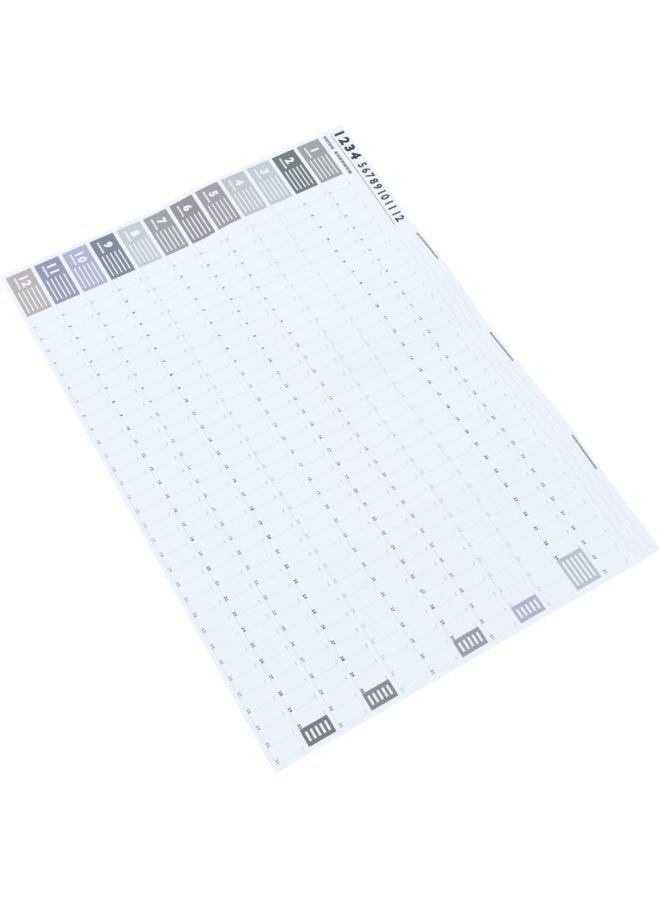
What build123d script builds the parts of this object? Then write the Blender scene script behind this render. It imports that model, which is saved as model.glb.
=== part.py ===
from build123d import *
import os

# Wall calendar: one large sheet of paper with a whole year printed on its face.
# It was kept folded in eight and has been opened out again, so it lies in soft hills and hollows.
# Millimetres, face up. +X runs along the rows of days, +Y towards the title, +Z out of the face.
# The origin is the middle of the sheet's outline, on the table under it.
# Places on the print are measured from the sheet's left edge and down from its top edge.

# Sheet
sheet_width = 740.0
sheet_height = 520.0
paper_thickness = 0.2
ink_thickness = 0.03

# Folds: three upright fold lines at the quarters and one level fold line at half height.
# Heights of the sheet's back over the table at the left edge, the fold lines and the right edge,
# and how far each panel bows up between them. Above the level fold the sheet was folded one way,
# below it the other, so a hollow above stands over a ridge below.
panels_across = 4
strips_per_panel = 4
upper_fold_heights = (13.0, 3.0, 0.0, 11.0, 4.0)
upper_panel_bows = (2.0, 8.0, 0.0, -2.0)
level_fold_heights = (7.0, 2.0, 0.0, 6.0, 4.0)
level_panel_bows = (-2.0, 0.0, 1.0, 3.0)
lower_fold_heights = (1.0, 8.0, 1.0, 0.0, 0.0)
lower_panel_bows = (-2.5, -3.5, 0.0, 0.0)
level_fold_reach = 40.0  # how far from the level fold each half takes its own shape

# Month rows
month_count = 12
days_in_month = (31, 29, 31, 30, 31, 30, 31, 31, 30, 31, 30, 31)
day_columns = 31
first_row_drop = 42.5
row_gap = 5.25  # bare paper between one row and the next
last_row_margin = 5.75  # lowest row to the sheet's lower edge
block_left = 6.3
block_width = 70.0
last_day_margin = 6.5  # last day to the sheet's right edge

# What is left bare in a month block: its number, a caption and a ruled note area
month_number_height = 12.6
month_number_width = 8.8
month_number_stroke = 2.6
month_number_inset = 15.4  # block's left edge to the middle of the number
month_number_drop = 13.9  # row's top to the middle of the number
caption_width = 19.0
caption_height = 2.6
caption_drop = 24.8
note_rule_count = 5
note_rule_width = 1.7
panel_rule_width = 2.8
first_note_rule_drop = 5.3
last_note_rule_lift = 5.2  # middle of the last ruled line to the row's lower edge
block_note_inset = 29.0
note_end_margin = 4.8  # ends of the ruled lines to the edge of their block or panel

# Day numbers, one small mark each at the lower right of its day
day_mark_width = 4.0
day_mark_height = 2.2
day_mark_inset = 2.2  # middle of the mark to the day's right edge
day_mark_lift = 2.0  # middle of the mark to the row's lower edge
row_rule_width = 0.3
row_rule_gap = 0.6  # bare paper between the ends of a rule and the fields of colour

# Heading: the numbers 1 to 12, the first four bold, over a fine rule and a short bar
title_left = 7.2
title_middle_drop = 11.2
title_gap = 3.0  # from one number to the next
title_group_gap = 9.4  # from the last bold number to the first light one
title_figure_gap = 1.6  # between the two figures of one number
bold_numbers = 4
bold_height = 15.4
bold_width = 11.6
bold_stroke = 3.4
light_height = 13.2
light_width = 7.4
light_stroke = 2.1
title_rule_inset = 8.4  # its left end to the sheet's left edge
title_rule_drop = 22.8
title_rule_length = 174.0
title_rule_width = 0.9
subtitle_drop = 32.6
subtitle_height = 4.6
subtitle_widths = (26.0, 43.0)
subtitle_gap = 5.0

# Three note columns to the right of the heading
column_count = 3
column_clearance = 26.6  # end of the heading's rule to the first column
column_gap = 11.6
last_column_margin = 6.8  # last column to the sheet's right edge
column_heading_drop = 5.3
column_heading_width = 52.5
column_heading_height = 2.8
column_rule_count = 3
first_column_rule_drop = 10.8
column_rule_pitch = 10.6
column_rule_width = 0.3

# Worked out from the sizes above
panel_width = sheet_width / panels_across
strip_width = panel_width / strips_per_panel
level_fold_drop = sheet_height / 2
row_pitch = (sheet_height - first_row_drop - last_row_margin + row_gap) / month_count
row_height = row_pitch - row_gap
note_rule_pitch = (row_height - first_note_rule_drop - last_note_rule_lift) / (note_rule_count - 1)
block_right = block_left + block_width
grid_right = sheet_width - last_day_margin
day_pitch = (grid_right - block_right) / day_columns
column_left = title_rule_inset + title_rule_length + column_clearance
columns_right = sheet_width - last_column_margin
column_pitch = (columns_right + column_gap - column_left) / column_count
column_width = column_pitch - column_gap
all_heights = upper_fold_heights + level_fold_heights + lower_fold_heights
all_bows = upper_panel_bows + level_panel_bows + lower_panel_bows
print_reach = max(all_heights) + max(all_bows) + paper_thickness + ink_thickness

# Centre lines of the ten figures, in a box one wide and one high that lies half a stroke inside the
# figure's outline; a plain end of a level or upright stroke reaches past the box to that outline
figure_corner = 0.3
corner_rise = 0.16
end_across = 0.2
end_down = 0.12


def ring(low, high):
    """Closed line with cut corners, from one height of the box to another."""
    return [
        (0, low + corner_rise), (0, high - corner_rise), (figure_corner, high), (1 - figure_corner, high),
        (1, high - corner_rise), (1, low + corner_rise), (1 - figure_corner, low), (figure_corner, low),
        (0, low + corner_rise),
    ]


upper_arc = [(0, 1 - corner_rise), (figure_corner, 1), (1 - figure_corner, 1), (1, 1 - corner_rise)]
lower_arc = [(1, corner_rise), (1 - figure_corner, 0), (figure_corner, 0), (0, corner_rise)]
figure_lines = {
    "0": [ring(0, 1)],
    "1": [[(0.5, -end_down), (0.5, 1 + end_down)], [(0, 0.76), (0.5, 1)]],
    "2": [upper_arc + [(1, 0.6), (0, 0)], [(-end_across, 0), (1 + end_across, 0)]],
    "3": [upper_arc + [(1, 0.62), (0.85, 0.53), (1, 0.44)] + lower_arc, [(0.3, 0.53), (0.85, 0.53)]],
    "4": [[(0.7, -end_down), (0.7, 1 + end_down)], [(0.55, 0.97), (0, 0.3)],
          [(-end_across, 0.26), (1 + end_across, 0.26)]],
    "5": [[(1 + end_across, 1), (0, 1), (0, 0.6), (1 - figure_corner, 0.6), (1, 0.44)] + lower_arc],
    "6": [ring(0, 0.6), [(0, 0.3)] + upper_arc],
    "7": [[(-end_across, 1), (1 + end_across, 1)], [(0.95, 1), (0.35, -end_down)]],
    "8": [ring(0, 0.53), ring(0.53, 1)],
    "9": [ring(0.4, 1), [(1, 0.7)] + lower_arc],
}


def across(from_left):
    return from_left - sheet_width / 2


def down(from_top):
    return sheet_height / 2 - from_top


def row_top(month):
    return first_row_drop + (month - 1) * row_pitch


def surface_height(fold_heights, panel_bows, station):
    """Height of the sheet's back at a strip edge, counted from the left edge."""
    panel = min(station // strips_per_panel, panels_across - 1)
    part = station / strips_per_panel - panel
    chord = fold_heights[panel] * (1 - part) + fold_heights[panel + 1] * part
    return chord + panel_bows[panel] * 4 * part * (1 - part)


def sheet_point(profile, drop, station, lift):
    height = surface_height(*profile, station)
    return Vector(across(station * strip_width), down(drop), height + lift)


def folded_facets(lift):
    """Flat faces that together follow the folded sheet, the whole set raised by lift."""
    upper = (upper_fold_heights, upper_panel_bows)
    level = (level_fold_heights, level_panel_bows)
    lower = (lower_fold_heights, lower_panel_bows)
    cuts = [
        (upper, 0),
        (upper, level_fold_drop - level_fold_reach),
        (level, level_fold_drop),
        (lower, level_fold_drop + level_fold_reach),
        (lower, sheet_height),
    ]
    facets = []
    for (profile_a, drop_a), (profile_b, drop_b) in zip(cuts, cuts[1:]):
        for station in range(panels_across * strips_per_panel):
            a = sheet_point(profile_a, drop_a, station, lift)
            b = sheet_point(profile_a, drop_a, station + 1, lift)
            c = sheet_point(profile_b, drop_b, station + 1, lift)
            d = sheet_point(profile_b, drop_b, station, lift)
            outlines = [(a, b, c, d)] if profile_a is profile_b else [(a, b, d), (b, c, d)]
            facets += [Face(Wire.make_polygon(outline)) for outline in outlines]
    return facets


def folded_layer(lift, thickness):
    """Solid wedges, one for each facet, that make a layer of one thickness."""
    return [extrude(facet, amount=thickness, dir=(0, 0, 1)) for facet in folded_facets(lift)]


def number_width(number, figure_width, figure_gap):
    figures = len(str(number))
    return figures * figure_width + (figures - 1) * figure_gap


def number_sketch(number, height, figure_width, stroke, figure_gap):
    """A number drawn in strokes of one width, its middle at the origin."""
    left = -number_width(number, figure_width, figure_gap) / 2 + stroke / 2
    bottom = (stroke - height) / 2
    with BuildSketch() as drawn:
        for place, figure in enumerate(str(number)):
            figure_left = left + place * (figure_width + figure_gap)
            for line in figure_lines[figure]:
                with BuildLine():
                    Polyline(*[
                        (figure_left + x * (figure_width - stroke), bottom + y * (height - stroke))
                        for x, y in line
                    ])
                trace(line_width=stroke)
    return drawn.sketch


def note_rules(left, right, top):
    """Middles of the ruled lines of a block or panel."""
    middle = across((left + right) / 2)
    drops = [top + first_note_rule_drop + n * note_rule_pitch for n in range(note_rule_count)]
    return [(middle, down(drop)) for drop in drops]


# Paper sheet
with BuildPart() as paper_sheet:
    add(folded_layer(0, paper_thickness))
paper_sheet.part.label = "paper_sheet"

# The thin layer in which everything printed lies
with BuildPart() as ink_layer:
    add(folded_layer(paper_thickness, ink_thickness))

printed = []

# Month blocks: a field of colour with its number, caption and ruled lines left bare
for month in range(1, month_count + 1):
    top = row_top(month)
    month_number = number_sketch(
        month, month_number_height, month_number_width, month_number_stroke, title_figure_gap
    )
    note_left = block_left + block_note_inset
    note_right = block_right - note_end_margin
    with BuildPart() as month_block:
        with BuildSketch():
            with Locations((across(block_left), down(top))):
                Rectangle(block_width, row_height, align=(Align.MIN, Align.MAX))
            with Locations((across(block_left + month_number_inset), down(top + month_number_drop))):
                add(month_number, mode=Mode.SUBTRACT)
            with Locations((across(block_left + month_number_inset), down(top + caption_drop))):
                Rectangle(caption_width, caption_height, mode=Mode.SUBTRACT)
            with Locations(note_rules(note_left, note_right, top)):
                Rectangle(note_right - note_left, note_rule_width, mode=Mode.SUBTRACT)
        extrude(amount=print_reach)
        add(ink_layer.part, mode=Mode.INTERSECT)
    month_block.part.label = f"month_block_{month:02d}"
    printed.append(month_block.part)

# Day numbers: one small mark at the lower right of each day
for month, days in enumerate(days_in_month, 1):
    mark_drop = row_top(month) + row_height - day_mark_lift
    mark_places = [
        (across(block_right + day * day_pitch - day_mark_inset), down(mark_drop))
        for day in range(1, days + 1)
    ]
    with BuildPart() as day_marks:
        with BuildSketch():
            with Locations(mark_places):
                Rectangle(day_mark_width, day_mark_height)
        extrude(amount=print_reach)
        add(ink_layer.part, mode=Mode.INTERSECT)
    day_marks.part.label = f"day_marks_{month:02d}"
    printed.append(day_marks.part)

# Panels over the days that a short month lacks
for month, days in enumerate(days_in_month, 1):
    if days == day_columns:
        continue
    top = row_top(month)
    panel_left = block_right + days * day_pitch
    note_left = panel_left + note_end_margin
    note_right = grid_right - note_end_margin
    with BuildPart() as end_panel:
        with BuildSketch():
            with Locations((across(panel_left), down(top))):
                Rectangle(grid_right - panel_left, row_height, align=(Align.MIN, Align.MAX))
            with Locations(note_rules(note_left, note_right, top)):
                Rectangle(note_right - note_left, panel_rule_width, mode=Mode.SUBTRACT)
        extrude(amount=print_reach)
        add(ink_layer.part, mode=Mode.INTERSECT)
    end_panel.part.label = f"end_panel_{month:02d}"
    printed.append(end_panel.part)

# Rule along the lower edge of each row of days, as far as the month runs
with BuildPart() as row_rules:
    with BuildSketch():
        for month, days in enumerate(days_in_month, 1):
            with Locations((across(block_right + row_rule_gap), down(row_top(month) + row_height))):
                Rectangle(
                    days * day_pitch - 2 * row_rule_gap, row_rule_width, align=(Align.MIN, Align.MIN)
                )
    extrude(amount=print_reach)
    add(ink_layer.part, mode=Mode.INTERSECT)
row_rules.part.label = "row_rules"
printed.append(row_rules.part)

# Heading numbers, bold then light
bold_figures = []
light_figures = []
title_reach = title_left
for number in range(1, month_count + 1):
    if number <= bold_numbers:
        height, width, stroke, figures = bold_height, bold_width, bold_stroke, bold_figures
    else:
        height, width, stroke, figures = light_height, light_width, light_stroke, light_figures
    wide = number_width(number, width, title_figure_gap)
    drawn = number_sketch(number, height, width, stroke, title_figure_gap)
    figures.append(Pos(across(title_reach + wide / 2), down(title_middle_drop)) * drawn)
    title_reach += wide + (title_group_gap if number == bold_numbers else title_gap)

for name, figures in (("heading_bold", bold_figures), ("heading_light", light_figures)):
    with BuildPart() as heading:
        with BuildSketch():
            add(figures)
        extrude(amount=print_reach)
        add(ink_layer.part, mode=Mode.INTERSECT)
    heading.part.label = name
    printed.append(heading.part)

# Fine rule under the heading, and the short bars under that
with BuildPart() as heading_rule:
    with BuildSketch():
        with Locations((across(title_rule_inset), down(title_rule_drop))):
            Rectangle(title_rule_length, title_rule_width, align=(Align.MIN, Align.CENTER))
    extrude(amount=print_reach)
    add(ink_layer.part, mode=Mode.INTERSECT)
heading_rule.part.label = "heading_rule"
printed.append(heading_rule.part)

subtitle_reach = title_left
with BuildPart() as subtitle_bars:
    with BuildSketch():
        for bar_width in subtitle_widths:
            with Locations((across(subtitle_reach), down(subtitle_drop))):
                Rectangle(bar_width, subtitle_height, align=(Align.MIN, Align.CENTER))
            subtitle_reach += bar_width + subtitle_gap
    extrude(amount=print_reach)
    add(ink_layer.part, mode=Mode.INTERSECT)
subtitle_bars.part.label = "subtitle_bars"
printed.append(subtitle_bars.part)

# Note columns: a heading bar and ruled lines in each
with BuildPart() as column_headings:
    with BuildSketch():
        for column in range(column_count):
            left = column_left + column * column_pitch
            with Locations((across(left), down(column_heading_drop))):
                Rectangle(column_heading_width, column_heading_height, align=(Align.MIN, Align.CENTER))
    extrude(amount=print_reach)
    add(ink_layer.part, mode=Mode.INTERSECT)
column_headings.part.label = "column_headings"
printed.append(column_headings.part)

with BuildPart() as column_rules:
    with BuildSketch():
        for column in range(column_count):
            left = column_left + column * column_pitch
            for line in range(column_rule_count):
                with Locations((across(left), down(first_column_rule_drop + line * column_rule_pitch))):
                    Rectangle(column_width, column_rule_width, align=(Align.MIN, Align.CENTER))
    extrude(amount=print_reach)
    add(ink_layer.part, mode=Mode.INTERSECT)
column_rules.part.label = "column_rules"
printed.append(column_rules.part)

os.makedirs("parts", exist_ok=True)
export_step(paper_sheet.part, "parts/paper_sheet.step")
for piece in printed:
    export_step(piece, f"parts/{piece.label}.step")
    print(piece.label, len(piece.solids()), "solids", round(piece.volume, 3), "mm3")
print("paper_sheet", len(paper_sheet.part.solids()), "solids", round(paper_sheet.part.volume, 1), "mm3")
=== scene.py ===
from itertools import cycle
import bmesh
import bpy
import numpy as np
from mathutils import Matrix, Vector


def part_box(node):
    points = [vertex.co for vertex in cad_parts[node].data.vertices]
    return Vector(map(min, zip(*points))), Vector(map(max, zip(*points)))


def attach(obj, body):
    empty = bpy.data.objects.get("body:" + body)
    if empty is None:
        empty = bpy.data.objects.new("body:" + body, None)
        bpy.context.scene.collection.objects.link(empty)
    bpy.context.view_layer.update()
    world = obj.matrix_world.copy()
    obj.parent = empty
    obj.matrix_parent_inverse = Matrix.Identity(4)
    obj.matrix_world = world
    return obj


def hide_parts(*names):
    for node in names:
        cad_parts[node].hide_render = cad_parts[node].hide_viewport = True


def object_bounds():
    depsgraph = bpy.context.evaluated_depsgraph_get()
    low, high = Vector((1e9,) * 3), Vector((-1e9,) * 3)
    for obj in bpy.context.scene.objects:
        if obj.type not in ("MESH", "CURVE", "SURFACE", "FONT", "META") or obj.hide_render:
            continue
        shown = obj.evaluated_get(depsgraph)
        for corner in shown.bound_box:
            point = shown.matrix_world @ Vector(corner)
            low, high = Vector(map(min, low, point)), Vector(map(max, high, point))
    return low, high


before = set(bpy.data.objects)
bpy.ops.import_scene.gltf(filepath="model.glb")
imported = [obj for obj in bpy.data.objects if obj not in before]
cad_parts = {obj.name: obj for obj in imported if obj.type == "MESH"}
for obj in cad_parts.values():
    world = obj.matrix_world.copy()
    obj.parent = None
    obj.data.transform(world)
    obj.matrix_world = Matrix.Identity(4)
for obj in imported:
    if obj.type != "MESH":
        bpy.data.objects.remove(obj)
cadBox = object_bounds()
print("frame loaded,", len(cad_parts), "nodes")

# All sizes in metres. Places on the print are x from the sheet's left edge and y down from its top edge.
sheetLow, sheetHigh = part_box("paper_sheet")
sheetWidth = sheetHigh.x - sheetLow.x
sheetLength = sheetHigh.y - sheetLow.y

monthDays = (31, 29, 31, 30, 31, 30, 31, 31, 30, 31, 30, 31)  # days printed in each month's row

# Shape of the paper

paper = {
    "colour": (0.835, 0.89, 0.968),
    "roughness": 0.55,
    "specular": 0.3,  # of the paper and the ink
    "thickness": 0.0002,
    "cell": 0.005,  # size of the mesh's squares
    "fibreScale": 900,
    "fibreDetail": 3,
    "fibreHeight": 0.00002,
    "cloudScale": 9,  # slow change of tone over the sheet
    "cloudDetail": 2,
    "cloudMiddle": 0.5,  # where the noise leaves the tone as it is
    "cloudStrength": 0.024,
}

folds = {
    "upperHeights": (0.013, 0.003, 0.0, 0.011, 0.004),
    "upperBows": (0.002, 0.008, 0.0, -0.002),
    "levelHeights": (0.007, 0.002, 0.0, 0.006, 0.004),
    "levelBows": (-0.002, 0.0, 0.001, 0.003),
    "lowerHeights": (0.001, 0.008, 0.001, 0.0, 0.0),
    "lowerBows": (-0.0025, -0.0035, 0.0, 0.0),
    "levelReach": 0.04,  # how far from the level fold each half takes its own shape
    "softness": 0.004,  # rounding along a fold line
    "roundingSteps": 7,  # heights that a rounded place is the mean of, each way
    "closeLines": (-0.9, -0.6, -0.3, 0.3, 0.6, 0.9),  # extra mesh lines by a fold, as parts of softness
    "bendSoftness": 0.014,  # rounding where a half leaves the level fold
    "bendGrowth": 0.5,  # how fast the rounding grows with the distance from that fold
    "creaseWidth": 0.0004,
    "creaseDepth": 0.00003,
    "creaseWear": 0.22,  # how much ink a fold line has lost
    "paintedCreaseShade": 0.05,  # painted shade: how much darker bare paper is drawn in a fold line
}


# Height along one line of fold heights, each panel bowed by its own amount
def profile(heights, bows, x):
    panels = len(bows)
    place = np.clip(x / sheetWidth * panels, 0, panels)
    panel = np.minimum(place.astype(int), panels - 1)
    part = place - panel
    heights = np.array(heights)
    bows = np.array(bows)
    chord = heights[panel] * (1 - part) + heights[panel + 1] * part
    return chord + bows[panel] * 4 * part * (1 - part)  # the whole bow at the panel's middle


# Height of the paper with its folds as sharp as lines
def sharpHeight(x, y):
    upper = profile(folds["upperHeights"], folds["upperBows"], x)
    level = profile(folds["levelHeights"], folds["levelBows"], x)
    lower = profile(folds["lowerHeights"], folds["lowerBows"], x)
    away = (y - sheetLength / 2) / folds["levelReach"]
    half = np.where(away < 0, upper, lower)
    mix = np.clip(np.abs(away), 0, 1)
    return level * (1 - mix) + half * mix


# Height of the paper's back over the table, with each fold line rounded
def backHeight(x, y):
    fromFold = np.abs(y - sheetLength / 2)
    reachX = np.minimum(folds["softness"], np.minimum(x, sheetWidth - x))
    reachY = np.clip(fromFold * folds["bendGrowth"], folds["softness"], folds["bendSoftness"])
    reachY = np.minimum(reachY, np.minimum(y, sheetLength - y))
    steps = np.linspace(-1, 1, folds["roundingSteps"])
    total = 0
    for stepX in steps:
        for stepY in steps:
            total = total + sharpHeight(x + stepX * reachX, y + stepY * reachY)
    return total / len(steps) ** 2


# Places of the mesh's lines: even squares, with closer lines along each fold
def stations(length, panels):
    cells = round(length / panels / paper["cell"])
    even = [i * length / (cells * panels) for i in range(cells * panels + 1)]
    near = []
    for fold in range(1, panels):
        for step in folds["closeLines"]:
            near.append(fold * length / panels + step * folds["softness"])
    return sorted(even + near)


columnLines = stations(sheetWidth, len(folds["upperBows"]))
rowLines = stations(sheetLength, 2)


# A place on the print and a height over the table, as a place in the shared frame
def toFrame(x, y, z):
    return np.stack([x + sheetLow.x, sheetHigh.y - y, z + sheetLow.z], axis=-1)


def newPiece(name, mesh, material, replaced=()):
    piece = bpy.data.objects.new(name, mesh)
    bpy.context.scene.collection.objects.link(piece)
    mesh.materials.append(material)
    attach(piece, "root")
    if replaced:
        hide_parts(*replaced)


def makeSheet(material):
    x, y = np.meshgrid(columnLines, rowLines)
    back = backHeight(x, y)
    across = len(columnLines)
    downward = len(rowLines)
    pointCount = across * downward
    front = toFrame(x, y, back + paper["thickness"]).reshape(-1, 3)
    under = toFrame(x, y, back).reshape(-1, 3)
    faces = []
    for row in range(downward - 1):
        for column in range(across - 1):
            here = row * across + column
            below = here + across
            faces.append((here, below, below + 1, here + 1))
            faces.append(tuple(pointCount + i for i in (here, here + 1, below + 1, below)))
    smoothCount = len(faces)
    rim = list(range(across))
    rim += [i * across + across - 1 for i in range(1, downward)]
    rim += [(downward - 1) * across + i for i in range(across - 2, -1, -1)]
    rim += [i * across for i in range(downward - 2, 0, -1)]
    rimPairs = list(zip(rim, rim[1:] + rim[:1]))
    for a, b in rimPairs:
        faces.append((a, b, pointCount + b, pointCount + a))
    mesh = bpy.data.meshes.new("paperSheet")
    mesh.from_pydata(np.vstack([front, under]).tolist(), [], faces)
    mesh.polygons.foreach_set("use_smooth", [i < smoothCount for i in range(len(faces))])
    mesh.validate()
    sharpPairs = {frozenset(pair) for pair in rimPairs}
    sharpPairs |= {frozenset(pointCount + i for i in pair) for pair in rimPairs}
    for edge in mesh.edges:
        edge.use_edge_sharp = frozenset(edge.vertices) in sharpPairs
    newPiece("paperSheet", mesh, material, ["paper_sheet"])


# Flat outlines of the print

font = {"curveSteps": 3}  # points along each curve of a figure

figureOutlines = {}


def meshFromCurve(curve):
    holder = bpy.data.objects.new("holder", curve)
    bpy.context.scene.collection.objects.link(holder)
    depsgraph = bpy.context.evaluated_depsgraph_get()
    mesh = bpy.data.meshes.new_from_object(holder.evaluated_get(depsgraph))
    bpy.data.objects.remove(holder)
    bpy.data.curves.remove(curve)
    return mesh


# Closed outlines of one figure of Blender's own font, made bolder by a weight
def figureLoops(figure, weight):
    key = (figure, weight)
    if key not in figureOutlines:
        text = bpy.data.curves.new("figure", "FONT")
        text.body = figure
        text.resolution_u = font["curveSteps"]
        text.offset = weight / 2
        mesh = meshFromCurve(text)
        uses = {}
        for polygon in mesh.polygons:
            for edge in polygon.edge_keys:
                uses[edge] = uses.get(edge, 0) + 1
        after = {}
        for (a, b), count in uses.items():
            if count == 1:
                after.setdefault(a, []).append(b)
                after.setdefault(b, []).append(a)
        points = [vertex.co.to_2d() for vertex in mesh.vertices]
        loops = []
        left = set(after)
        while left:
            point = min(left)
            loop = []
            while point is not None:
                loop.append(points[point])
                left.discard(point)
                point = next((i for i in after[point] if i in left), None)
            loops.append(np.array(loop))
        bpy.data.meshes.remove(mesh)
        figureOutlines[key] = loops
    return figureOutlines[key]


def spanOf(loops):
    points = np.vstack(loops)
    return points.min(axis=0), points.max(axis=0)


# Width of a whole number, where each figure takes a width and a gap parts them
def numberWidth(number, width, gap):
    figures = len(str(number))
    return figures * width + (figures - 1) * gap


# Outlines of a number with its middle at a place on the print; a nought is as wide as the given width
def numberLoops(number, height, width, gap, weight, middle):
    noughtLow, noughtHigh = spanOf(figureLoops("0", weight))
    scale = np.array([width, height]) / (noughtHigh - noughtLow)
    whole = numberWidth(number, width, gap)
    placed = []
    for place, figure in enumerate(str(number)):
        loops = figureLoops(figure, weight)
        low, high = spanOf(loops)
        figureMiddle = (low + high) / 2
        fit = np.array([scale[0], height / (high[1] - low[1])])
        centre = middle[0] - whole / 2 + width / 2 + place * (width + gap)
        for loop in loops:
            local = (loop - figureMiddle) * fit
            placed.append(np.stack([centre + local[:, 0], middle[1] - local[:, 1]], axis=1))
    return placed


def bar(left, top, width, height):
    return np.array([
        (left, top), (left + width, top), (left + width, top + height), (left, top + height),
    ])


def middleBar(middle, width, height):
    return bar(middle[0] - width / 2, middle[1] - height / 2, width, height)


# A row of short marks of given widths
def markRow(left, middleDrop, widths, gap, height):
    marks = []
    for width in widths:
        marks.append(bar(left, middleDrop - height / 2, width, height))
        left += width + gap
    return marks


ink = {
    "lift": 0.00003,  # print above the paper
    "mergeDistance": 0.0000001,  # points of an outline nearer than this become one
    "roughness": 0.48,
    "mottleScale": 260,
    "mottleDetail": 4,
    "mottleStrength": 0.05,  # share of bare paper in the print, at the most
}


# Cuts flat print along a line through a place
def cutPrint(work, place, across):
    everything = work.verts[:] + work.edges[:] + work.faces[:]
    bmesh.ops.bisect_plane(
        work, geom=everything, plane_co=place, plane_no=across, dist=ink["mergeDistance"],
    )


# Fills the outlines, cuts them on the sheet's own lines and lays them on the paper
def printPiece(name, loops, material, replaced=()):
    curve = bpy.data.curves.new(name, "CURVE")
    curve.dimensions = "2D"
    curve.fill_mode = "BOTH"
    for loop in loops:
        spline = curve.splines.new("POLY")
        spline.points.add(len(loop) - 1)
        for point, (x, y) in zip(spline.points, loop):
            point.co = (x, -y, 0, 1)
        spline.use_cyclic_u = True
    mesh = meshFromCurve(curve)
    work = bmesh.new()
    work.from_mesh(mesh)
    bmesh.ops.remove_doubles(work, verts=work.verts, dist=ink["mergeDistance"])
    low, high = spanOf(loops)
    for x in columnLines:
        if low[0] < x < high[0]:
            cutPrint(work, (x, 0, 0), (1, 0, 0))
    for y in rowLines:
        if low[1] < y < high[1]:
            cutPrint(work, (0, -y, 0), (0, 1, 0))
    flat = np.array([vertex.co[:2] for vertex in work.verts])
    x = flat[:, 0]
    y = -flat[:, 1]
    places = toFrame(x, y, backHeight(x, y) + paper["thickness"] + ink["lift"])
    for vertex, place in zip(work.verts, places):
        vertex.co = place
    for face in work.faces:
        face.smooth = True
    bmesh.ops.recalc_face_normals(work, faces=work.faces)
    if sum(face.normal.z for face in work.faces) < 0:
        bmesh.ops.reverse_faces(work, faces=work.faces)
    work.to_mesh(mesh)
    work.free()
    mesh.name = name
    newPiece(name, mesh, material, replaced)


# Places that the solids give


# Left, top, right and bottom of a solid, as places on the print
def boxOnPrint(node):
    low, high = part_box(node)
    return low.x - sheetLow.x, sheetHigh.y - high.y, high.x - sheetLow.x, sheetHigh.y - low.y


# Distance from one day to the next, from the rows of a long and a short month
longRow = boxOnPrint("day_marks_01")
shortRow = boxOnPrint("day_marks_04")
dayPitch = (longRow[2] - shortRow[2]) / (monthDays[0] - monthDays[3])

# Shader groups


# A group whose sockets are all plain values, set where the group is placed
def newGroup(name, inputs, outputs):
    group = bpy.data.node_groups.new(name, "ShaderNodeTree")
    for label in inputs:
        group.interface.new_socket(name=label, in_out="INPUT", socket_type="NodeSocketFloat")
    for label in outputs:
        group.interface.new_socket(name=label, in_out="OUTPUT", socket_type="NodeSocketFloat")
    start = group.nodes.new("NodeGroupInput")
    end = group.nodes.new("NodeGroupOutput")
    return group, start, end


def mathNode(tree, operation, first, second=None):
    node = tree.nodes.new("ShaderNodeMath")
    node.operation = operation
    for socket, value in zip(node.inputs, (first, second)):
        if value is None:
            continue
        if isinstance(value, (int, float)):
            socket.default_value = value
        else:
            tree.links.new(value, socket)
    return node.outputs[0]


# Fine tooth of the paper and a slow change of tone
def fibreGroup():
    inputs = ("Fibre Scale", "Cloud Scale", "Cloud Strength")
    group, start, end = newGroup("paperFibre", inputs, ("Height", "Tone"))
    place = group.nodes.new("ShaderNodeTexCoord").outputs["Object"]
    fibre = group.nodes.new("ShaderNodeTexNoise")
    fibre.inputs["Detail"].default_value = paper["fibreDetail"]
    group.links.new(place, fibre.inputs["Vector"])
    group.links.new(start.outputs["Fibre Scale"], fibre.inputs["Scale"])
    group.links.new(fibre.outputs["Fac"], end.inputs["Height"])
    cloud = group.nodes.new("ShaderNodeTexNoise")
    cloud.inputs["Detail"].default_value = paper["cloudDetail"]
    group.links.new(place, cloud.inputs["Vector"])
    group.links.new(start.outputs["Cloud Scale"], cloud.inputs["Scale"])
    centred = mathNode(group, "SUBTRACT", cloud.outputs["Fac"], paper["cloudMiddle"])
    change = mathNode(group, "MULTIPLY", centred, start.outputs["Cloud Strength"])
    group.links.new(mathNode(group, "ADD", change, 1), end.inputs["Tone"])
    return group


# Mask that is 1 on the fold lines and falls to 0 beside them
def creaseGroup():
    group, start, end = newGroup("foldCrease", ("Panel Width", "Crease Width"), ("Mask",))
    place = group.nodes.new("ShaderNodeTexCoord").outputs["Object"]
    split = group.nodes.new("ShaderNodeSeparateXYZ")
    group.links.new(place, split.inputs[0])
    fromUpright = mathNode(group, "PINGPONG", split.outputs["X"], start.outputs["Panel Width"])
    toNext = mathNode(group, "SUBTRACT", start.outputs["Panel Width"], fromUpright)
    nearUpright = mathNode(group, "MINIMUM", fromUpright, toNext)
    fromLevel = mathNode(group, "ABSOLUTE", split.outputs["Y"])
    nearest = mathNode(group, "MINIMUM", nearUpright, fromLevel)
    away = mathNode(group, "DIVIDE", nearest, start.outputs["Crease Width"])
    faded = mathNode(group, "SUBTRACT", 1, away)
    group.links.new(mathNode(group, "MAXIMUM", faded, 0), end.inputs["Mask"])
    return group


# Fine unevenness of a printed field of colour
def mottleGroup():
    group, start, end = newGroup("inkMottle", ("Scale", "Strength"), ("Bare",))
    place = group.nodes.new("ShaderNodeTexCoord").outputs["Object"]
    speck = group.nodes.new("ShaderNodeTexNoise")
    speck.inputs["Detail"].default_value = ink["mottleDetail"]
    group.links.new(place, speck.inputs["Vector"])
    group.links.new(start.outputs["Scale"], speck.inputs["Scale"])
    bare = mathNode(group, "MULTIPLY", speck.outputs["Fac"], start.outputs["Strength"])
    group.links.new(bare, end.inputs["Bare"])
    return group


groups = {"fibre": fibreGroup(), "crease": creaseGroup(), "mottle": mottleGroup()}


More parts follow.
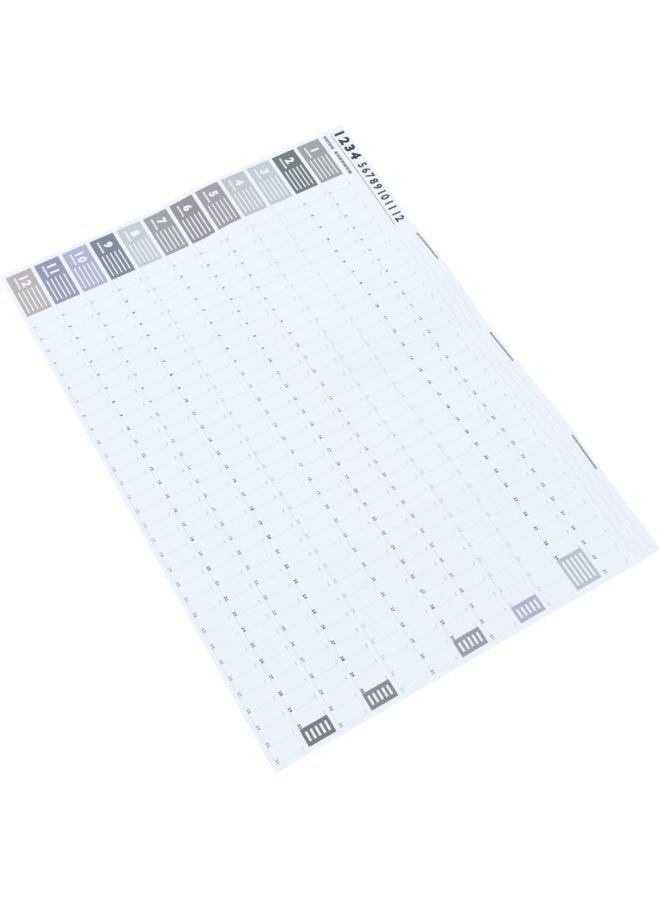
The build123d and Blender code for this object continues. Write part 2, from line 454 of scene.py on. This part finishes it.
def placeGroup(tree, name, values):
    node = tree.nodes.new("ShaderNodeGroup")
    node.node_tree = groups[name]
    for label, value in values.items():
        node.inputs[label].default_value = value
    return node


# Fibre and fold lines of the sheet, which its print shares
def placeSurface(tree):
    fibre = placeGroup(tree, "fibre", {
        "Fibre Scale": paper["fibreScale"],
        "Cloud Scale": paper["cloudScale"],
        "Cloud Strength": paper["cloudStrength"],
    })
    crease = placeGroup(tree, "crease", {
        "Panel Width": sheetWidth / len(folds["upperBows"]),
        "Crease Width": folds["creaseWidth"],
    })
    return fibre, crease


# Tooth of the paper and the fold lines, as one height
def surfaceBump(tree, shader, fibre, crease):
    tooth = mathNode(tree, "MULTIPLY", fibre.outputs["Height"], paper["fibreHeight"])
    groove = mathNode(tree, "MULTIPLY", crease.outputs["Mask"], folds["creaseDepth"])
    height = mathNode(tree, "SUBTRACT", tooth, groove)
    bump = tree.nodes.new("ShaderNodeBump")
    bump.inputs["Distance"].default_value = 1  # the height is in metres
    bump.inputs["Strength"].default_value = 1
    tree.links.new(height, bump.inputs["Height"])
    tree.links.new(bump.outputs["Normal"], shader.inputs["Normal"])


# A colour made lighter or darker by a value
def tinted(tree, colour, tone):
    mix = tree.nodes.new("ShaderNodeVectorMath")
    mix.operation = "SCALE"
    mix.inputs[0].default_value = colour
    tree.links.new(tone, mix.inputs["Scale"])
    return mix.outputs[0]


def newMaterial(name, roughness):
    material = bpy.data.materials.new(name)
    material.use_nodes = True
    shader = material.node_tree.nodes["Principled BSDF"]
    shader.inputs["Roughness"].default_value = roughness
    shader.inputs["Specular IOR Level"].default_value = paper["specular"]
    return material, material.node_tree, shader


def paperMaterial():
    material, tree, shader = newMaterial("coatedPaper", paper["roughness"])
    fibre, crease = placeSurface(tree)
    # painted shade: bare paper drawn darker along each fold line, where shade falls in the crease
    shade = mathNode(tree, "MULTIPLY", crease.outputs["Mask"], folds["paintedCreaseShade"])
    tone = mathNode(tree, "SUBTRACT", fibre.outputs["Tone"], shade)
    tree.links.new(tinted(tree, paper["colour"], tone), shader.inputs["Base Color"])
    surfaceBump(tree, shader, fibre, crease)
    return material


def inkMaterial(name, colour):
    material, tree, shader = newMaterial(name, ink["roughness"])
    fibre, crease = placeSurface(tree)
    mottle = placeGroup(tree, "mottle", {"Scale": ink["mottleScale"], "Strength": ink["mottleStrength"]})
    worn = mathNode(tree, "MULTIPLY", crease.outputs["Mask"], folds["creaseWear"])
    bare = mathNode(tree, "ADD", mottle.outputs["Bare"], worn)
    mix = tree.nodes.new("ShaderNodeMix")
    mix.data_type = "RGBA"
    tree.links.new(bare, mix.inputs["Factor"])
    tree.links.new(tinted(tree, colour, fibre.outputs["Tone"]), mix.inputs["A"])
    mix.inputs["B"].default_value = (*paper["colour"], 1)
    tree.links.new(mix.outputs["Result"], shader.inputs["Base Color"])
    surfaceBump(tree, shader, fibre, crease)
    return material


# Pieces

monthInks = {  # colour of each month's block; its day numbers take it darker or paler
    1: (0.32, 0.34, 0.34),
    2: (0.13, 0.17, 0.17),
    3: (0.51, 0.60, 0.66),
    4: (0.52, 0.54, 0.57),
    5: (0.34, 0.31, 0.36),
    6: (0.28, 0.27, 0.29),
    7: (0.32, 0.34, 0.35),
    8: (0.52, 0.60, 0.66),
    9: (0.17, 0.22, 0.29),
    10: (0.42, 0.43, 0.63),
    11: (0.28, 0.29, 0.42),
    12: (0.47, 0.43, 0.43),
}

panelInks = {  # months with a panel after their last day
    2: (0.47, 0.53, 0.61),
    4: (0.42, 0.43, 0.61),
    6: (0.31, 0.31, 0.41),
    9: (0.22, 0.23, 0.27),
    11: (0.17, 0.17, 0.20),
}

block = {
    "numberHeight": 0.0126,
    "numberWidth": 0.0088,
    "numberWeight": 0.11,
    "numberInset": 0.0154,  # middle of the number from the block's left edge
    "numberDrop": 0.0139,  # and from its top edge
    "figureGap": 0.0016,
    "captionWidth": 0.0190,
    "captionHeight": 0.0026,
    "captionDrop": 0.0248,
    "captionMarks": (0.0030, 0.0022, 0.0032, 0.0020, 0.0028, 0.0031),  # widths of short marks
    "ruleCount": 5,  # bare lines to write on, in blocks and panels
    "ruleWidth": 0.0017,
    "rulePitch": 0.006,
    "firstRuleDrop": 0.0053,
    "ruleInset": 0.029,
    "ruleEndMargin": 0.0048,
}

endPanel = {"ruleWidth": 0.0028, "ruleMargin": 0.0048}


def ruledLines(left, right, top, width):
    loops = []
    for line in range(block["ruleCount"]):
        middleDrop = top + block["firstRuleDrop"] + line * block["rulePitch"]
        loops.append(bar(left, middleDrop - width / 2, right - left, width))
    return loops


def makeMonthBlock(month):
    left, top, right, bottom = boxOnPrint(f"month_block_{month:02d}")
    loops = [bar(left, top, right - left, bottom - top)]
    loops += numberLoops(
        month, block["numberHeight"], block["numberWidth"], block["figureGap"], block["numberWeight"],
        (left + block["numberInset"], top + block["numberDrop"]),
    )
    marks = block["captionMarks"]
    gap = (block["captionWidth"] - sum(marks)) / (len(marks) - 1)
    loops += markRow(
        left + block["numberInset"] - block["captionWidth"] / 2, top + block["captionDrop"],
        marks, gap, block["captionHeight"],
    )
    loops += ruledLines(left + block["ruleInset"], right - block["ruleEndMargin"], top, block["ruleWidth"])
    material = inkMaterial(f"monthInk{month:02d}", monthInks[month])
    printPiece(
        f"monthBlock{month:02d}", loops, material,
        [f"month_block_{month:02d}"],
    )


def makeEndPanel(month):
    left, top, right, bottom = boxOnPrint(f"end_panel_{month:02d}")
    loops = [bar(left, top, right - left, bottom - top)]
    margin = endPanel["ruleMargin"]
    loops += ruledLines(left + margin, right - margin, top, endPanel["ruleWidth"])
    material = inkMaterial(f"panelInk{month:02d}", panelInks[month])
    printPiece(f"endPanel{month:02d}", loops, material, [f"end_panel_{month:02d}"])


days = {
    "numberHeight": 0.0037,
    "numberWidth": 0.0026,
    "numberRaise": 0.0002,  # middle of a number above the middle of its solid mark
    "numberInset": 0.0003,  # right end of a number to the right end of its solid mark
    "numberWeight": 0.11,
    "figureGap": 0.0004,
    # how each month's block colour is scaled for its small print
    "inkTones": (0.74, 0.66, 1.22, 1.23, 0.93, 0.74, 0.78, 1.04, 0.30, 0.66, 0.47, 0.88),
}


def dayNumbers(month):
    _, top, right, bottom = boxOnPrint(f"day_marks_{month:02d}")
    loops = []
    for day in range(1, monthDays[month - 1] + 1):
        width = numberWidth(day, days["numberWidth"], days["figureGap"])
        end = right - (monthDays[month - 1] - day) * dayPitch - days["numberInset"]
        loops += numberLoops(
            day, days["numberHeight"], days["numberWidth"], days["figureGap"], days["numberWeight"],
            (end - width / 2, (top + bottom) / 2 - days["numberRaise"]),
        )
    return loops


weekdays = {
    "marks": 3,  # short marks at the top of each day
    "markWidth": 0.0010,
    "markHeight": 0.0006,
    "markPitch": 0.0014,
    "inset": 0.0029,  # middle of the marks to the day's right edge
    "drop": 0.0011,
}


def weekdayMarks(month):
    _, top, rowLeft, _ = boxOnPrint(f"month_block_{month:02d}")
    fromMiddle = (weekdays["marks"] - 1) / 2 * weekdays["markPitch"]
    loops = []
    for day in range(1, monthDays[month - 1] + 1):
        first = rowLeft + day * dayPitch - weekdays["inset"] - fromMiddle
        for mark in range(weekdays["marks"]):
            middle = (first + mark * weekdays["markPitch"], top + weekdays["drop"])
            loops.append(middleBar(middle, weekdays["markWidth"], weekdays["markHeight"]))
    return loops


def makeDays(month):
    tone = days["inkTones"][month - 1]
    material = inkMaterial(f"dayInk{month:02d}", [part * tone for part in monthInks[month]])
    printPiece(
        f"dayNumbers{month:02d}", dayNumbers(month), material, [f"day_marks_{month:02d}"],
    )
    printPiece(f"weekdayMarks{month:02d}", weekdayMarks(month), material)


rowRules = {"width": 0.0003, "colour": (0.59, 0.63, 0.70)}


# A level line under each month's days
def makeRowRules():
    start = boxOnPrint("row_rules")[0]
    loops = []
    for month, count in enumerate(monthDays, 1):
        _, _, rowLeft, bottom = boxOnPrint(f"month_block_{month:02d}")
        length = count * dayPitch - 2 * (start - rowLeft)
        loops.append(bar(start, bottom - rowRules["width"], length, rowRules["width"]))
    printPiece(
        "rowRules", loops, inkMaterial("rowRuleInk", rowRules["colour"]), ["row_rules"],
    )


dayLines = {"width": 0.00022, "colour": (0.69, 0.73, 0.80)}


# Upright lines at the right of each day, as far as the month runs
def makeDayLines():
    loops = []
    for month, count in enumerate(monthDays, 1):
        _, top, rowLeft, bottom = boxOnPrint(f"month_block_{month:02d}")
        for day in range(1, count + 1):
            edge = rowLeft + day * dayPitch
            loops.append(bar(edge - dayLines["width"], top, dayLines["width"], bottom - top))
    printPiece("dayLines", loops, inkMaterial("dayLineInk", dayLines["colour"]))


heading = {
    "left": 0.0072,
    "middleDrop": 0.0112,
    "gap": 0.0030,  # between one number and the next
    "groupGap": 0.0094,  # between the bold numbers and the light ones
    "figureGap": 0.0016,
    "boldNumbers": 4,
    "boldHeight": 0.0154,
    "boldWidth": 0.0116,
    "boldWeight": 0.115,
    "boldColour": (0.02, 0.02, 0.02),
    "lightHeight": 0.0132,
    "lightWidth": 0.0074,
    "lightWeight": 0.080,
    "lightColour": (0.04, 0.04, 0.04),
}


def makeHeading():
    loops = {"bold": [], "light": []}
    reach = heading["left"]
    for number in range(1, len(monthDays) + 1):
        kind = "bold" if number <= heading["boldNumbers"] else "light"
        width = heading[kind + "Width"]
        whole = numberWidth(number, width, heading["figureGap"])
        loops[kind] += numberLoops(
            number, heading[kind + "Height"], width, heading["figureGap"], heading[kind + "Weight"],
            (reach + whole / 2, heading["middleDrop"]),
        )
        reach += whole + (heading["groupGap"] if number == heading["boldNumbers"] else heading["gap"])
    boldInk = inkMaterial("headingBoldInk", heading["boldColour"])
    lightInk = inkMaterial("headingLightInk", heading["lightColour"])
    printPiece("headingBold", loops["bold"], boldInk, ["heading_bold"])
    printPiece("headingLight", loops["light"], lightInk, ["heading_light"])


headingRule = {"dotWidth": 0.0021, "dotPitch": 0.0027, "colour": (0.02, 0.02, 0.02)}


# A dotted line under the heading
def makeHeadingRule():
    left, top, right, bottom = boxOnPrint("heading_rule")
    loops = []
    for dot in range(int((right - left) / headingRule["dotPitch"])):
        loops.append(bar(left + dot * headingRule["dotPitch"], top, headingRule["dotWidth"], bottom - top))
    printPiece(
        "headingRule", loops, inkMaterial("headingRuleInk", headingRule["colour"]),
        ["heading_rule"],
    )


subtitle = {
    "groups": (  # widths of the short marks in each group
        (0.0046, 0.0038, 0.0034, 0.0048, 0.0054),
        (0.0052, 0.0042, 0.0060, 0.0050, 0.0062, 0.0046, 0.0064),
    ),
    "markGap": 0.0009,
    "groupGap": 0.0050,
    "colour": (0.24, 0.25, 0.24),
}


def makeSubtitle():
    reach, top, _, bottom = boxOnPrint("subtitle_bars")
    loops = []
    for marks in subtitle["groups"]:
        loops += markRow(reach, (top + bottom) / 2, marks, subtitle["markGap"], bottom - top)
        reach += sum(marks) + (len(marks) - 1) * subtitle["markGap"] + subtitle["groupGap"]
    printPiece(
        "subtitle", loops, inkMaterial("subtitleInk", subtitle["colour"]),
        ["subtitle_bars"],
    )


columns = {
    "count": 3,
    "rules": 3,
    "headingWidth": 0.0525,
    "headingColour": (0.23, 0.23, 0.23),
    "markWidths": (0.0021, 0.0027, 0.0016, 0.0030, 0.0023),  # of the short marks in a heading, in turn
    "markGap": 0.0006,
    "ruleWidth": 0.0003,
    "ruleColour": (0.60, 0.64, 0.71),
}


# Note columns, each with a heading and rules under it
def makeColumns():
    left, top, right, bottom = boxOnPrint("column_headings")
    ruleLeft, ruleTop, ruleRight, ruleBottom = boxOnPrint("column_rules")
    gaps = columns["count"] - 1
    pitch = (right - left - columns["headingWidth"]) / gaps
    columnWidth = ruleRight - ruleLeft - gaps * pitch
    rulePitch = (ruleBottom - ruleTop - columns["ruleWidth"]) / (columns["rules"] - 1)
    marks = []
    rules = []
    for column in range(columns["count"]):
        start = left + column * pitch
        reach = start
        for width in cycle(columns["markWidths"]):
            if reach + width >= start + columns["headingWidth"]:
                break
            marks.append(bar(reach, top, width, bottom - top))
            reach += width + columns["markGap"]
        for line in range(columns["rules"]):
            rules.append(bar(start, ruleTop + line * rulePitch, columnWidth, columns["ruleWidth"]))
    printPiece(
        "columnHeadings", marks, inkMaterial("columnHeadingInk", columns["headingColour"]),
        ["column_headings"],
    )
    printPiece(
        "columnRules", rules, inkMaterial("columnRuleInk", columns["ruleColour"]),
        ["column_rules"],
    )


makeSheet(paperMaterial())
print("sheet laid")
for month in range(1, len(monthDays) + 1):
    makeMonthBlock(month)
    makeDays(month)
    if month in panelInks:
        makeEndPanel(month)
print("months printed")
makeRowRules()
makeDayLines()
makeHeading()
makeHeadingRule()
makeSubtitle()
makeColumns()
print("heading and rules printed")


# Floor, light and camera


# 1 for the rays that show the backdrop, 0 for those that light things
def seenRays(tree):
    rays = tree.nodes.new("ShaderNodeLightPath").outputs
    shown = mathNode(tree, "MAXIMUM", rays["Is Camera Ray"], rays["Is Glossy Ray"])
    return mathNode(tree, "MAXIMUM", shown, rays["Is Transmission Ray"])


ground = {
    "colour": (0.86, 0.86, 0.86),
    "roughness": 0.9,
    "size": 8.0,
    "gap": 0.0002,  # under the paper, so that the two don't touch
    "glow": 0.42,  # brings the floor to white, and lights nothing
}


def makeFloor():
    half = ground["size"] / 2
    mesh = bpy.data.meshes.new("floor")
    mesh.from_pydata(
        [(-half, -half, 0), (half, -half, 0), (half, half, 0), (-half, half, 0)], [], [(0, 1, 2, 3)]
    )
    floor = bpy.data.objects.new("floor", mesh)
    floor.location.z = cadBox[0].z - ground["gap"]
    bpy.context.scene.collection.objects.link(floor)
    material = bpy.data.materials.new("floorPaint")
    material.use_nodes = True
    tree = material.node_tree
    shader = tree.nodes["Principled BSDF"]
    shader.inputs["Base Color"].default_value = (*ground["colour"], 1)
    shader.inputs["Roughness"].default_value = ground["roughness"]
    shader.inputs["Specular IOR Level"].default_value = 0
    glow = tree.nodes.new("ShaderNodeEmission")
    tree.links.new(mathNode(tree, "MULTIPLY", seenRays(tree), ground["glow"]), glow.inputs["Strength"])
    both = tree.nodes.new("ShaderNodeAddShader")
    tree.links.new(shader.outputs[0], both.inputs[0])
    tree.links.new(glow.outputs[0], both.inputs[1])
    tree.links.new(both.outputs[0], tree.nodes["Material Output"].inputs["Surface"])
    mesh.materials.append(material)


light = {
    "world": 0.918,  # strength of the light from all round
    "lampPower": 9.2,
    "lampSize": 2.2,
    "lampPlace": (-1.3, 0.1, 2.4),
}


def makeLights():
    world = bpy.data.worlds.new("studio")
    bpy.context.scene.world = world
    world.use_nodes = True
    tree = world.node_tree
    background = tree.nodes["Background"]
    extra = mathNode(tree, "MULTIPLY", seenRays(tree), 1 - light["world"])
    background.inputs["Color"].default_value = (1, 1, 1, 1)
    tree.links.new(mathNode(tree, "ADD", extra, light["world"]), background.inputs["Strength"])
    lamp = bpy.data.lights.new("softLamp", "AREA")
    lamp.shape = "SQUARE"
    lamp.size = light["lampSize"]
    lamp.energy = light["lampPower"]
    holder = bpy.data.objects.new("softLamp", lamp)
    holder.location = light["lampPlace"]
    holder.rotation_euler = (-Vector(light["lampPlace"])).to_track_quat("-Z", "Y").to_euler()
    bpy.context.scene.collection.objects.link(holder)


view = {
    "place": (0.6109, -0.3764, 1.2725),
    "right": (0.5054, 0.8624, 0.0292),  # which way is right in the picture
    "up": (-0.7734, 0.4378, 0.4584),
    "lens": 46.87,
    "sensor": 36,
    "near": 0.05,
    "far": 50,
}


def makeCamera():
    camera = bpy.data.cameras.new("camera")
    camera.lens = view["lens"]
    camera.sensor_width = view["sensor"]
    camera.clip_start = view["near"]
    camera.clip_end = view["far"]
    holder = bpy.data.objects.new("camera", camera)
    right = Vector(view["right"]).normalized()
    back = right.cross(Vector(view["up"])).normalized()
    up = back.cross(right)
    turn = Matrix((right, up, back)).transposed().to_4x4()
    holder.matrix_world = Matrix.Translation(view["place"]) @ turn
    bpy.context.scene.collection.objects.link(holder)
    bpy.context.scene.camera = holder


makeFloor()
makeLights()
makeCamera()
bpy.context.scene.view_settings.view_transform = "Standard"
print("light and camera set")
